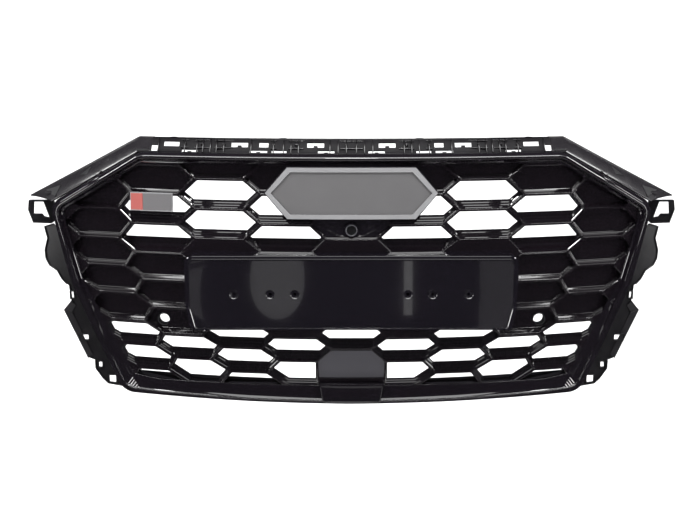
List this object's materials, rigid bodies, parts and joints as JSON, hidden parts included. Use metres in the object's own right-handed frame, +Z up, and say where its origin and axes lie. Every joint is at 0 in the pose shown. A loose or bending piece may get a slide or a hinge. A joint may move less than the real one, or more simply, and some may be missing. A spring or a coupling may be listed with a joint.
{
  "type": "front grille",
  "caption": "Gloss black honeycomb car front grille with framed surround, plate plinth, plain emblem and badge panels, radar cover, sensor holders and an upper fixing rail.",
  "frame": {"origin": "midway between the two inner screw holes on top of the upper rail, on the centreline", "axes": "+X to the viewer's right when facing the grille, the grille faces -Y, +Z up"},
  "size_m": [1.106, 0.192, 0.429],
  "materials": {
    "bezel_gloss": "high-gloss piano black",
    "carrier_black": "gloss black moulding",
    "mesh_gloss": "high-gloss piano black",
    "plinth_gloss": "high-gloss piano black",
    "rail_black": "gloss black moulding",
    "wing_black": "gloss black moulding",
    "bracket_black": "semi-gloss black moulding",
    "emblem_gloss": "high-gloss piano black",
    "emblem_chrome": "bright chrome",
    "emblem_satin": "satin silver",
    "spring_steel": "zinc-plated spring steel",
    "badge_chrome": "chrome edge",
    "badge_red": "red lacquer",
    "badge_satin": "satin silver",
    "pod_gloss": "high-gloss piano black",
    "ring_gloss": "gloss black ring",
    "plug_black": "fine matt black",
    "radar_gloss": "smoked gloss panel",
    "housing_black": "matt black moulding",
    "screw_steel": "black zinc steel"
  },
  "bodies": {
    "root": {"surround_bezel": "bezel_gloss", "carrier_frame": "carrier_black", "honeycomb_mesh": "mesh_gloss", "plate_plinth": "plinth_gloss", "upper_rail": "rail_black", "wing_panel_left": "wing_black", "wing_panel_right": "wing_black", "shoulder_hook_left": "bracket_black", "shoulder_hook_right": "bracket_black", "side_bracket_left": "bracket_black", "side_bracket_right": "bracket_black", "emblem_base": "emblem_gloss", "emblem_rim": "emblem_chrome", "emblem_inlay": "emblem_satin", "emblem_push_nuts": "spring_steel", "badge_plate": "badge_chrome", "badge_red_block": "badge_red", "badge_grey_block": "badge_satin", "camera_pod": "pod_gloss", "camera_ring": "ring_gloss", "camera_plug": "plug_black", "radar_cover": "radar_gloss", "radar_housing": "housing_black", "sensor_holder_left": "housing_black", "sensor_holder_right": "housing_black", "frame_screws": "screw_steel", "plinth_screws": "screw_steel", "radar_screws": "screw_steel"}
  },
  "joints": []
}
